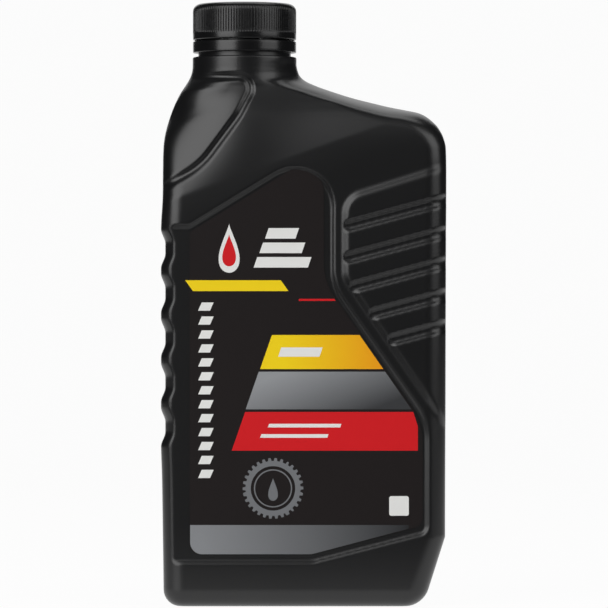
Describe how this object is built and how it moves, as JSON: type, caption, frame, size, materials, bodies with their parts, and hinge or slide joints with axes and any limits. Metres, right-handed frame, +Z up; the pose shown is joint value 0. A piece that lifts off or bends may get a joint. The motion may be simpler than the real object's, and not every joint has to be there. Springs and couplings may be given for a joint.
{
  "type": "motor oil bottle",
  "caption": "Flat blow-moulded quart oil bottle with offset neck, ribbed screw cap, tamper band, recessed label, grip pads and finger grooves.",
  "frame": {"origin": "middle of the bounding box in X and Y, on the surface that the bottle stands on", "axes": "+Z up along the bottle's height, -Y out of the front that carries the label, +X across the front towards the ribbed grip pad"},
  "size_m": [0.1121, 0.0554, 0.235],
  "materials": {
    "bottle_plastic": "satin black blow-moulded polyethylene",
    "cap_plastic": "black injection-moulded polypropylene",
    "liner_foam": "white foamed sheet",
    "label_film": "printed film, black ground with coloured fields"
  },
  "bodies": {
    "flask": {"bottle": "bottle_plastic", "bottle_neck": "bottle_plastic", "tamper_band": "cap_plastic", "front_label": "label_film"},
    "liner": {"cap_liner": "liner_foam"},
    "closure": {"cap": "cap_plastic"}
  },
  "joints": [
    {"name": "cap_lift", "type": "slide", "parent": "flask", "child": "liner", "axis": [0, 0, 1], "range_m": [0, 0.0137]},
    {"name": "cap_turn", "type": "hinge", "parent": "liner", "child": "closure", "pos_m": [-0.0233, 0, 0.228], "axis": [0, 0, 1], "range_deg": [0, 1170]}
  ],
  "couplings": [
    {"joint": "cap_turn", "follows": "cap_lift", "rad_per_m": 1485.4}
  ]
}
